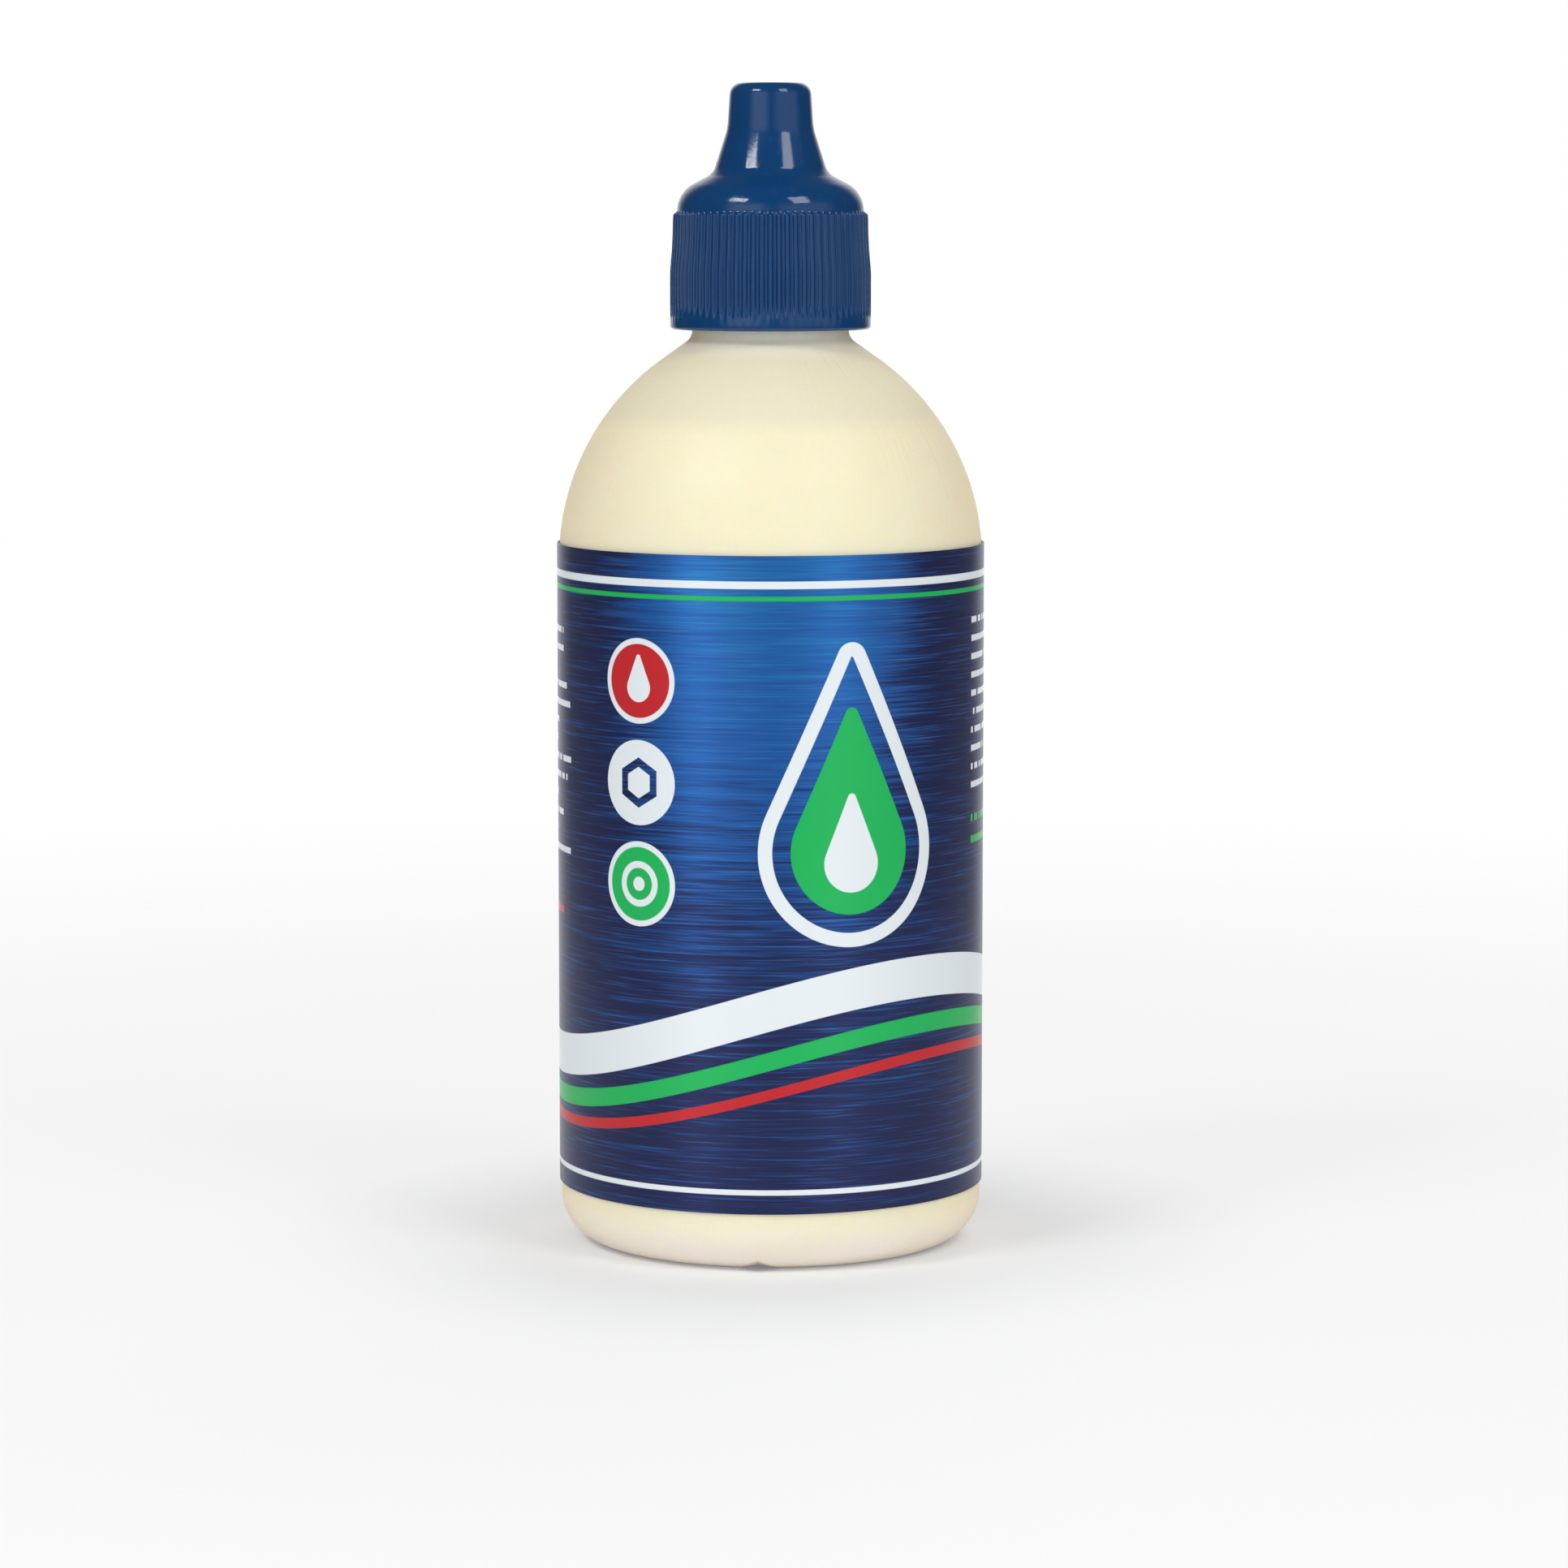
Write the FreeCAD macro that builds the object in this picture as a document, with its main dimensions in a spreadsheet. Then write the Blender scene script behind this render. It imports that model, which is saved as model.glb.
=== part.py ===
import FreeCAD, Part
import math
import os
import Sketcher

Vector = FreeCAD.Vector

# Driving dimensions: millimetres, degrees or a count
sizes = [
    ("body_diameter", 25.56, "straight wall of the bottle, outside"),
    ("wall", 1.0, "bottle wall"),
    ("base_radius", 2.85, "round between the wall and the foot"),
    ("foot_width", 1.5, "flat ring that the bottle stands on"),
    ("push_up", 0.9, "rise of the base inside the foot ring"),
    ("push_up_slope", 45.0, "slope of the step inside the foot ring, degrees"),
    ("notch_width", 2.0, "parting notch across the foot ring, at the floor"),
    ("notch_height", 0.4, "parting notch, at its middle"),
    ("parting_turn", -3.6, "turn of the mould's parting plane from the front, degrees"),
    ("shoulder_height", 49.05, "height at which wall and shoulder cone would meet"),
    ("shoulder_slope", 35.5, "slope of the shoulder cone, degrees"),
    ("shoulder_radius", 14.85, "round between the wall and the shoulder cone"),
    ("neck_fillet", 0.8, "round between the shoulder cone and the neck"),
    ("neck_height", 7.1, "neck above the shoulder cone"),
    ("neck_bore", 6.8, "inside diameter of the neck"),
    ("neck_wall", 0.9, "neck wall at the thread root"),
    ("collar_height", 1.0, "plain collar under the thread"),
    ("thread_pitch", 2.0, "rise of the thread in one turn"),
    ("thread_depth", 0.42, "neck thread, root to crest"),
    ("thread_root_width", 0.9, "thread ridge where it leaves the neck"),
    ("thread_crest_width", 0.4, "thread ridge at its crest"),
    ("thread_margin", 0.5, "plain neck kept above and below the thread"),
    ("thread_embed", 0.15, "depth of the ridge inside its wall"),
    ("fill_height", 50.0, "level of the liquid"),
    ("liquid_clearance", 0.02, "film between the liquid and the wall"),
    ("label_bottom", 3.7, "lower edge of the label"),
    ("label_height", 38.8, "label, edge to edge"),
    ("label_thickness", 0.1, "label film"),
    ("label_adhesive", 0.02, "adhesive under the film"),
    ("label_seam", 0.8, "gap between the label's two ends"),
    ("plug_length", 5.0, "nozzle plug inside the neck"),
    ("plug_clearance", 0.02, "between the plug and the neck bore"),
    ("nozzle_wall", 0.7, "nozzle wall"),
    ("flange_thickness", 0.6, "nozzle flange on the neck"),
    ("flange_inset", 0.1, "flange edge inside the thread root"),
    ("nozzle_cone_height", 3.0, "nozzle cone above the flange"),
    ("nozzle_cone_diameter", 5.2, "nozzle cone at the flange"),
    ("nozzle_tip_height", 5.9, "nozzle tip above the flange"),
    ("nozzle_tip_diameter", 2.6, "nozzle tip, outside"),
    ("orifice_diameter", 1.0, "drop hole"),
    ("orifice_length", 1.6, "straight stretch of the drop hole"),
    ("seat_clearance", 0.05, "between the nozzle flange and the cap"),
    ("rim_clearance", 0.5, "between the cap rim and the shoulder cone"),
    ("thread_clearance", 0.15, "between the crest of the cap thread and the neck thread"),
    ("cap_thread_depth", 0.25, "cap thread, root to crest"),
    ("skirt_wall", 0.5, "cap skirt between bore and rib roots, at the top"),
    ("skirt_draft", 0.2, "widening of the skirt from its top to the straight stretch"),
    ("skirt_straight", 3.3, "straight lower stretch of the skirt"),
    ("rim_band", 0.85, "plain band round the cap rim"),
    ("rim_round", 0.25, "round on the lower edge of the rim band"),
    ("rib_count", 72, "grip ribs round the skirt"),
    ("rib_depth", 0.22, "grip rib, root to crest"),
    ("rib_width", 0.4, "grip rib at its root"),
    ("rib_embed", 0.05, "rib flank carried on inside the skirt"),
    ("rib_stop", 0.35, "top of the ribs below the seat"),
    ("shoulder_rise", 0.95, "cap shoulder corner above the seat"),
    ("shoulder_round", 1.7, "round on the cap shoulder"),
    ("flare_rise", 2.05, "foot of the flared cover above the seat"),
    ("flare_height", 2.7, "flared stretch of the cover"),
    ("flare_spread", 0.86, "widening over the flared stretch"),
    ("flare_foot_round", 1.0, "round between shoulder and flare"),
    ("flare_top_round", 3.0, "round between flare and tip"),
    ("cover_clearance", 0.3, "between the nozzle and the cover's inside"),
    ("cover_wall", 0.82, "cover wall at its tip"),
    ("cover_draft", 0.16, "widening of the tip down to the flare"),
    ("cover_top", 1.3, "thickness of the cover's flat end"),
    ("cover_top_round", 0.72, "round on the cover's end"),
    ("pin_clearance", 0.06, "between the seal pin and the drop hole"),
    ("pin_reach", 1.0, "seal pin inside the drop hole"),
]

doc = FreeCAD.newDocument("ChainLubeBottle")
sheet = doc.addObject("Spreadsheet::Sheet", "Sizes")
for row, (alias, value, note) in enumerate(sizes, start=1):
    sheet.set(f"A{row}", alias)
    sheet.set(f"B{row}", str(value))
    sheet.set(f"C{row}", note)
    sheet.setAlias(f"B{row}", alias)
doc.recompute()


def size(alias):
    return f"Sizes.{alias}"


# Shared places, as expressions of the sheet's cells
bodyRadius = "(Sizes.body_diameter / 2)"
innerRadius = f"({bodyRadius} - Sizes.wall)"
footInner = f"({bodyRadius} - Sizes.base_radius - Sizes.foot_width)"
slope = "(Sizes.shoulder_slope * 1 deg)"
pushSlope = "(Sizes.push_up_slope * 1 deg)"
boreRadius = "(Sizes.neck_bore / 2)"
threadRoot = f"({boreRadius} + Sizes.neck_wall)"
threadCrest = f"({threadRoot} + Sizes.thread_depth)"
neckBase = f"(Sizes.shoulder_height + ({bodyRadius} - {threadCrest}) * tan({slope}))"
neckTop = f"({neckBase} + Sizes.neck_height)"
collarTop = f"({neckBase} + Sizes.collar_height)"
capDepth = f"(Sizes.neck_height + Sizes.flange_thickness + Sizes.seat_clearance - Sizes.rim_clearance)"


def newBody(label):
    body = doc.addObject("PartDesign::Body", label)
    body.Label = label
    return body


def newSketch(body, name, role="XZ_Plane"):
    plane = next(f for f in body.Origin.OriginFeatures if f.Role == role)
    sketch = body.newObject("Sketcher::SketchObject", name)
    sketch.AttachmentSupport = [(plane, "")]
    sketch.MapMode = "FlatFace"
    return sketch


def bind(sketch, kind, ids, expression):
    value = float(sketch.evalExpression(expression))
    index = sketch.addConstraint(Sketcher.Constraint(kind, *ids, value))
    sketch.setExpression(f"Constraints[{index}]", expression)


def pin(sketch, geo, pos, corner):
    # Places on an axis are held to it, all others by their two distances
    if corner[0] == "0":
        sketch.addConstraint(Sketcher.Constraint("PointOnObject", geo, pos, -2))
    else:
        bind(sketch, "DistanceX", (-1, 1, geo, pos), corner[0])
    if corner[1] == "0":
        sketch.addConstraint(Sketcher.Constraint("PointOnObject", geo, pos, -1))
    else:
        bind(sketch, "DistanceY", (-1, 1, geo, pos), corner[1])


def closedOutline(sketch, corners):
    # Straight runs between corners; a third entry rounds the corner with a tangent arc
    count = len(corners)
    places = [Vector(*[float(sketch.evalExpression(e)) for e in c[:2]]) for c in corners]
    starts = list(places)
    ends = list(places)
    rounds = {}
    for i, corner in enumerate(corners):
        if len(corner) < 3:
            continue
        radius = float(sketch.evalExpression(corner[2]))
        back = (places[i - 1] - places[i]).normalize()
        ahead = (places[(i + 1) % count] - places[i]).normalize()
        half = back.getAngle(ahead) / 2
        reach = radius / math.tan(half)
        ends[i] = places[i] + back * reach
        starts[i] = places[i] + ahead * reach
        middle = places[i] + (back + ahead).normalize() * (radius / math.sin(half))
        rounds[i] = (middle, radius)

    lines = []
    for i in range(count):
        segment = Part.LineSegment(starts[i], ends[(i + 1) % count])
        lines.append(sketch.addGeometry(segment, False))

    for i, corner in enumerate(corners):
        before = lines[i - 1]
        after = lines[i]
        if i not in rounds:
            sketch.addConstraint(Sketcher.Constraint("Coincident", before, 2, after, 1))
            pin(sketch, after, 1, corner)
            continue
        middle, radius = rounds[i]
        first = ends[i] - middle
        last = starts[i] - middle
        leftTurn = first.cross(last).z > 0
        if not leftTurn:
            first, last = last, first
        circle = Part.Circle(middle, Vector(0, 0, 1), radius)
        arcShape = Part.ArcOfCircle(circle, math.atan2(first.y, first.x), math.atan2(last.y, last.x))
        arc = sketch.addGeometry(arcShape, False)
        apex = sketch.addGeometry(Part.Point(places[i]), True)
        pin(sketch, apex, 1, corner)
        sketch.addConstraint(Sketcher.Constraint("PointOnObject", apex, 1, before))
        sketch.addConstraint(Sketcher.Constraint("PointOnObject", apex, 1, after))
        sketch.addConstraint(Sketcher.Constraint("Tangent", before, 2, arc, 1 if leftTurn else 2))
        sketch.addConstraint(Sketcher.Constraint("Tangent", after, 1, arc, 2 if leftTurn else 1))
        bind(sketch, "Radius", (arc,), corner[2])


def turned(body, name, corners, kind="Revolution"):
    sketch = newSketch(body, f"{name}_outline")
    closedOutline(sketch, corners)
    feature = body.newObject(f"PartDesign::{kind}", name)
    feature.Profile = sketch
    feature.ReferenceAxis = (sketch, ["V_Axis"])
    feature.Angle = 360
    doc.recompute()
    return feature


def threadRidge(body, name, corners, height):
    sketch = newSketch(body, f"{name}_section")
    closedOutline(sketch, corners)
    ridge = body.newObject("PartDesign::AdditiveHelix", name)
    ridge.Profile = sketch
    ridge.ReferenceAxis = (sketch, ["V_Axis"])
    ridge.Mode = "pitch-height-angle"
    ridge.setExpression("Pitch", size("thread_pitch"))
    ridge.setExpression("Height", height)
    doc.recompute()
    return ridge


# Bottle: hollow blow moulding from the foot ring to the threaded neck
bottle = newBody("bottle")
floorShift = f"Sizes.wall * tan({pushSlope} / 2)"
recessRadius = f"({footInner} - Sizes.push_up / tan({pushSlope}))"
innerShoulder = f"(Sizes.shoulder_height + Sizes.wall * tan({slope}) - Sizes.wall / cos({slope}))"
innerNeckBase = f"({innerShoulder} + ({innerRadius} - {boreRadius}) * tan({slope}))"
turned(bottle, "bottle_shell", [
    ("0", size("push_up")),
    (recessRadius, size("push_up")),
    (footInner, "0"),
    (bodyRadius, "0", size("base_radius")),
    (bodyRadius, size("shoulder_height"), size("shoulder_radius")),
    (threadCrest, neckBase, size("neck_fillet")),
    (threadCrest, collarTop),
    (threadRoot, collarTop),
    (threadRoot, neckTop),
    (boreRadius, neckTop),
    (boreRadius, innerNeckBase, size("neck_fillet")),
    (innerRadius, innerShoulder, "Sizes.shoulder_radius - Sizes.wall"),
    (innerRadius, size("wall"), "Sizes.base_radius - Sizes.wall"),
    (f"{footInner} + {floorShift}", size("wall")),
    (f"{recessRadius} + {floorShift}", "Sizes.push_up + Sizes.wall"),
    ("0", "Sizes.push_up + Sizes.wall"),
])

ridgeFoot = f"({threadRoot} - Sizes.thread_embed)"
ridgeFlank = "(Sizes.thread_root_width - Sizes.thread_crest_width) / 2"
ridgeLow = f"({collarTop} + Sizes.thread_margin)"
ridgeRun = "Sizes.neck_height - Sizes.collar_height - 2 * Sizes.thread_margin - Sizes.thread_root_width"
threadRidge(bottle, "neck_thread", [
    (ridgeFoot, ridgeLow),
    (threadRoot, ridgeLow),
    (threadCrest, f"{ridgeLow} + {ridgeFlank}"),
    (threadCrest, f"{ridgeLow} + {ridgeFlank} + Sizes.thread_crest_width"),
    (threadRoot, f"{ridgeLow} + Sizes.thread_root_width"),
    (ridgeFoot, f"{ridgeLow} + Sizes.thread_root_width"),
], ridgeRun)

# Parting notch: a low arch through the foot ring, front and back
beforeNotch = bottle.Shape.Volume
notchSketch = newSketch(bottle, "notch_outline")
notchRadius = "((Sizes.notch_width ^ 2 / 4 + Sizes.notch_height ^ 2) / (2 * Sizes.notch_height))"
arch = Part.Circle(Vector(0, -1, 0), Vector(0, 0, 1), 1.4)
archCircle = notchSketch.addGeometry(arch, False)
notchSketch.addConstraint(Sketcher.Constraint("PointOnObject", archCircle, 3, -2))
bind(notchSketch, "DistanceY", (archCircle, 3, -1, 1), f"{notchRadius} - Sizes.notch_height")
bind(notchSketch, "Radius", (archCircle,), notchRadius)
notch = bottle.newObject("PartDesign::Pocket", "parting_notch")
notch.Profile = notchSketch
notch.SideType = "Symmetric"
notch.setExpression("Length", size("body_diameter"))
doc.recompute()
notchCut = beforeNotch - bottle.Shape.Volume
bottle.Placement = FreeCAD.Placement(Vector(), Vector(0, 0, 1), 0)
bottle.setExpression("Placement.Rotation.Angle", size("parting_turn"))

# Lube: fills the inside up to its level
lube = newBody("lube")
film = "Sizes.liquid_clearance"
filmShift = f"({film} * tan({pushSlope} / 2))"
filmRise = f"({film} / cos({slope}))"
lubeRadius = f"({innerRadius} - {film})"
lubeShoulder = f"({innerShoulder} + {film} * tan({slope}) - {filmRise})"
turned(lube, "lube_full", [
    ("0", f"Sizes.push_up + Sizes.wall + {film}"),
    (f"{recessRadius} + {floorShift} + {filmShift}", f"Sizes.push_up + Sizes.wall + {film}"),
    (f"{footInner} + {floorShift} + {filmShift}", f"Sizes.wall + {film}"),
    (lubeRadius, f"Sizes.wall + {film}", f"Sizes.base_radius - Sizes.wall - {film}"),
    (lubeRadius, lubeShoulder, f"Sizes.shoulder_radius - Sizes.wall - {film}"),
    (boreRadius, f"{lubeShoulder} + ({lubeRadius} - {boreRadius}) * tan({slope})"),
    ("0", f"{lubeShoulder} + ({lubeRadius} - {boreRadius}) * tan({slope})"),
])
beforeLevel = lube.Shape.Volume
turned(lube, "lube_level", [
    ("0", size("fill_height")),
    (bodyRadius, size("fill_height")),
    (bodyRadius, neckTop),
    ("0", neckTop),
], "Groove")
levelCut = beforeLevel - lube.Shape.Volume

# Label: one film round the straight wall, its two ends parted at the back
label = newBody("label")
labelInner = f"({bodyRadius} + Sizes.label_adhesive)"
labelOuter = f"({labelInner} + Sizes.label_thickness)"
wrap = turned(label, "label_wrap", [
    (labelInner, "0"),
    (labelOuter, "0"),
    (labelOuter, size("label_height")),
    (labelInner, size("label_height")),
])
wrap.Midplane = True
wrap.setExpression("Angle", f"360 - Sizes.label_seam / {labelOuter} * 180 / pi")
label.Placement = FreeCAD.Placement(Vector(), Vector(0, 0, 1), -90)
label.setExpression("Placement.Base.z", size("label_bottom"))

# Dropper nozzle: plug, flange on the neck, cone and narrow tip with the drop hole
nozzle = newBody("dropper_nozzle")
plugRadius = f"({boreRadius} - Sizes.plug_clearance)"
plugInner = f"({plugRadius} - Sizes.nozzle_wall)"
flangeRadius = f"({threadRoot} - Sizes.flange_inset)"
flangeTop = "(Sizes.plug_length + Sizes.flange_thickness)"
coneRadius = "(Sizes.nozzle_cone_diameter / 2)"
tipRadius = "(Sizes.nozzle_tip_diameter / 2)"
tipTop = f"({flangeTop} + Sizes.nozzle_tip_height)"
holeRadius = "(Sizes.orifice_diameter / 2)"
turned(nozzle, "nozzle_shell", [
    (plugInner, "0"),
    (plugRadius, "0", "Sizes.nozzle_wall / 2"),
    (plugRadius, size("plug_length")),
    (flangeRadius, size("plug_length")),
    (flangeRadius, flangeTop, "Sizes.flange_thickness / 3"),
    (coneRadius, flangeTop),
    (tipRadius, f"{flangeTop} + Sizes.nozzle_cone_height", size("nozzle_wall")),
    (tipRadius, tipTop, f"({tipRadius} - {holeRadius}) / 2"),
    (holeRadius, tipTop),
    (holeRadius, f"{tipTop} - Sizes.orifice_length"),
    (f"{coneRadius} - Sizes.nozzle_wall", size("plug_length")),
    (plugInner, size("plug_length")),
])
nozzle.setExpression("Placement.Base.z", f"{neckTop} - Sizes.plug_length")

# Screw cap: ribbed skirt, shoulder, and the flared cover over the nozzle, hollow with a seal pin
cap = newBody("screw_cap")
capCrest = f"({threadCrest} + Sizes.thread_clearance)"
capBore = f"({capCrest} + Sizes.cap_thread_depth)"
skirtTop = f"({capBore} + Sizes.skirt_wall)"
skirtLow = f"({skirtTop} + Sizes.skirt_draft)"
rimRadius = f"({skirtLow} + Sizes.rib_depth)"
ribTop = f"({capDepth} - Sizes.rib_stop)"
coverTip = f"({tipRadius} + Sizes.cover_clearance + Sizes.cover_wall)"
coverFlare = f"({coverTip} + Sizes.cover_draft)"
flareFoot = f"({capDepth} + Sizes.flare_rise)"
coverInner = f"({tipRadius} + Sizes.cover_clearance)"
roof = f"({capDepth} - Sizes.seat_clearance + Sizes.nozzle_tip_height + Sizes.cover_clearance)"
pinRadius = f"({holeRadius} - Sizes.pin_clearance)"
pinLow = f"({roof} - Sizes.cover_clearance - Sizes.pin_reach)"
turned(cap, "cap_shell", [
    (capBore, "0"),
    (rimRadius, "0", size("rim_round")),
    (rimRadius, size("rim_band")),
    (skirtLow, size("rim_band")),
    (skirtLow, size("skirt_straight")),
    (skirtTop, ribTop),
    (skirtTop, f"{capDepth} + Sizes.shoulder_rise", size("shoulder_round")),
    (f"{coverFlare} + Sizes.flare_spread", flareFoot, size("flare_foot_round")),
    (coverFlare, f"{flareFoot} + Sizes.flare_height", size("flare_top_round")),
    (coverTip, f"{roof} + Sizes.cover_top", size("cover_top_round")),
    ("0", f"{roof} + Sizes.cover_top"),
    ("0", pinLow),
    (pinRadius, pinLow),
    (pinRadius, roof),
    (coverInner, roof),
    (coverInner, f"{capDepth} + Sizes.nozzle_cone_height"),
    (f"{coneRadius} + Sizes.cover_clearance", capDepth),
    (capBore, capDepth),
])

capFoot = f"({capBore} + Sizes.thread_embed)"
capFlank = "(Sizes.thread_root_width - Sizes.thread_crest_width) / 2"
capLow = "(Sizes.rim_band + Sizes.thread_margin)"
capRun = f"{capDepth} - 2 * {capLow} - Sizes.thread_root_width"
threadRidge(cap, "cap_thread", [
    (capFoot, capLow),
    (capFoot, f"{capLow} + Sizes.thread_root_width"),
    (capBore, f"{capLow} + Sizes.thread_root_width"),
    (capCrest, f"{capLow} + {capFlank} + Sizes.thread_crest_width"),
    (capCrest, f"{capLow} + {capFlank}"),
    (capBore, capLow),
], capRun)

# Grip rib: a gable whose ridge follows the skirt, repeated all round
ribRoot = f"({capBore} + Sizes.rib_embed)"
ribSketch = newSketch(cap, "rib_outline")
closedOutline(ribSketch, [
    (ribRoot, "Sizes.rim_band / 2"),
    (rimRadius, "Sizes.rim_band / 2"),
    (rimRadius, size("skirt_straight")),
    (f"{skirtTop} + Sizes.rib_depth", ribTop),
    (ribRoot, ribTop),
])
rib = cap.newObject("PartDesign::Pad", "grip_rib")
rib.Profile = ribSketch
rib.SideType = "Symmetric"
rib.setExpression("Length", "Sizes.rib_width + 2 * Sizes.rib_embed")
rib.setExpression("TaperAngle", "-atan(2 * Sizes.rib_depth / Sizes.rib_width)")
doc.recompute()
ribs = cap.newObject("PartDesign::PolarPattern", "grip_ribs")
ribs.Originals = [rib]
ribs.Axis = (ribSketch, ["V_Axis"])
ribs.Angle = 360
ribs.setExpression("Occurrences", size("rib_count"))
cap.Tip = ribs
cap.setExpression("Placement.Base.z", f"{neckBase} + Sizes.rim_clearance")
doc.recompute()

# Every object is sound before anything is written
subParts = [bottle, label, nozzle, cap, lube]
for item in doc.Objects:
    if "Invalid" in item.State or "Error" in item.State:
        raise RuntimeError(f"{item.Label} is {item.State}")
for part in subParts:
    if part.Shape.isNull() or not part.Shape.isValid() or len(part.Shape.Solids) != 1:
        raise RuntimeError(f"{part.Label} is not one sound solid")
if notchCut <= 0 or levelCut <= 0:
    raise RuntimeError("a cut took nothing away")

os.makedirs("parts", exist_ok=True)
for part in subParts:
    part.Shape.exportStep(f"parts/{part.Label}.step")
    box = part.Shape.BoundBox
    print(f"{part.Label}: {part.Shape.Volume:.1f} mm3, z {box.ZMin:.2f} to {box.ZMax:.2f}, x {box.XMax:.2f}")
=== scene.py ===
import math

import bmesh
import bpy
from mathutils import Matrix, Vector


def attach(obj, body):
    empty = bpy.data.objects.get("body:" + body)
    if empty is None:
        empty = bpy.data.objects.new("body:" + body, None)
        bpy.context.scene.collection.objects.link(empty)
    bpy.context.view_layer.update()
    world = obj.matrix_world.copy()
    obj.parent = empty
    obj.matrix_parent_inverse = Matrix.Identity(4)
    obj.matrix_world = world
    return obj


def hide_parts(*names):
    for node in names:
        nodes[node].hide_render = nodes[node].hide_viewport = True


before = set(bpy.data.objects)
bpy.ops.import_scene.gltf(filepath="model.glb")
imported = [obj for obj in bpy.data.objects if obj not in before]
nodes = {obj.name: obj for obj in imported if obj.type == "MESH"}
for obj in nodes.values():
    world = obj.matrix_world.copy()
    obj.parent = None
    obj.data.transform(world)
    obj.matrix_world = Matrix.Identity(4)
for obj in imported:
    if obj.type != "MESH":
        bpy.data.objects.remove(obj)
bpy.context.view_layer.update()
mm = 0.001
print("frame loaded:", ", ".join(sorted(nodes)))


# Node tools: a reading is a node's output that takes sums like a plain number

class Reading:
    def __init__(self, socket):
        self.socket = socket
        self.tree = socket.id_data

    def math(self, operation, *others):
        node = self.tree.nodes.new("ShaderNodeMath")
        node.operation = operation
        for value, socket in zip((self,) + others, node.inputs):
            feed(value, socket)
        return Reading(node.outputs[0])

    def __add__(self, other):
        return self.math("ADD", other)

    def __sub__(self, other):
        return self.math("SUBTRACT", other)

    def __rsub__(self, other):
        return self.math("MULTIPLY_ADD", -1.0, other)

    def __mul__(self, other):
        return self.math("MULTIPLY", other)

    def __truediv__(self, other):
        return self.math("DIVIDE", other)

    def __abs__(self):
        return self.math("ABSOLUTE")

    def orMore(self, other):
        return self.math("MAXIMUM", other)

    def orLess(self, other):
        return self.math("MINIMUM", other)

    def step(self, low, high, start=0.0, end=1.0):  # runs smoothly from start to end between low and high
        node = self.tree.nodes.new("ShaderNodeMapRange")
        node.interpolation_type = "SMOOTHSTEP"
        values = {"Value": self, "From Min": low, "From Max": high, "To Min": start, "To Max": end}
        for name, value in values.items():
            feed(value, node.inputs[name])
        return Reading(node.outputs["Result"])


def feed(value, socket):  # a reading is linked, a plain value is set
    if isinstance(value, Reading):
        socket.id_data.links.new(value.socket, socket)
    else:
        socket.default_value = value


def length(x, y):
    return (x * x + y * y).math("SQRT")


def blend(factor, under, over):  # two colours by a mask
    node = factor.tree.nodes.new("ShaderNodeMix")
    node.data_type = "RGBA"
    for name, value in (("Factor_Float", factor), ("A_Color", under), ("B_Color", over)):
        feed(value, next(s for s in node.inputs if s.identifier == name))
    return Reading(next(s for s in node.outputs if s.identifier == "Result_Color"))


def noise(position, scale, stretch=None, detail=2.0, roughness=0.5):
    tree = position.tree
    if stretch:
        node = tree.nodes.new("ShaderNodeVectorMath")
        node.operation = "MULTIPLY"
        feed(position, node.inputs[0])
        node.inputs[1].default_value = stretch
        position = Reading(node.outputs[0])
    node = tree.nodes.new("ShaderNodeTexNoise")
    feed(position, node.inputs["Vector"])
    node.inputs["Scale"].default_value = scale
    node.inputs["Detail"].default_value = detail
    node.inputs["Roughness"].default_value = roughness
    return Reading(node.outputs["Fac"])


def streaks(x, y, stretch, roughness=0.5):  # noise on a flat place, drawn out by two scales
    node = x.tree.nodes.new("ShaderNodeCombineXYZ")
    feed(x * stretch[0], node.inputs["X"])
    feed(y * stretch[1], node.inputs["Y"])
    return noise(Reading(node.outputs[0]), 1.0, roughness=roughness)


def chance(number):  # a fixed random value for each whole number
    node = number.tree.nodes.new("ShaderNodeTexWhiteNoise")
    node.noise_dimensions = "1D"
    feed(number, node.inputs["W"])
    return Reading(node.outputs["Value"])


def bump(height, distance):
    node = height.tree.nodes.new("ShaderNodeBump")
    node.inputs["Distance"].default_value = distance
    feed(height, node.inputs["Height"])
    return Reading(node.outputs["Normal"])


def startGroup(name, inputs, outputs):
    tree = bpy.data.node_groups.new(name, "ShaderNodeTree")
    for label in inputs.split():
        kind = "NodeSocketVector" if label == "Position" else "NodeSocketFloat"
        tree.interface.new_socket(label, in_out="INPUT", socket_type=kind)
    for label in outputs.split():
        tree.interface.new_socket(label, in_out="OUTPUT", socket_type="NodeSocketFloat")
    given = {s.name: Reading(s) for s in tree.nodes.new("NodeGroupInput").outputs if s.name}
    return tree, given, tree.nodes.new("NodeGroupOutput").inputs


def placed(tree, group, **values):  # a group in a material, with its own values
    node = tree.nodes.new("ShaderNodeGroup")
    node.node_tree = group
    for label, value in values.items():
        feed(value, node.inputs[label])
    return {s.name: Reading(s) for s in node.outputs}


def newMaterial(name, plain):  # plain: shader values that are the same all over the surface
    material = bpy.data.materials.new(name)
    material.use_nodes = True
    tree = material.node_tree
    shader = tree.nodes["Principled BSDF"].inputs
    for label, value in plain.items():
        shader[label].default_value = value
    position = Reading(tree.nodes.new("ShaderNodeTexCoord").outputs["Object"])
    return material, tree, shader, position


def dress(thing, material):
    thing.data.materials.clear()
    thing.data.materials.append(material)


# Shared groups

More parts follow.
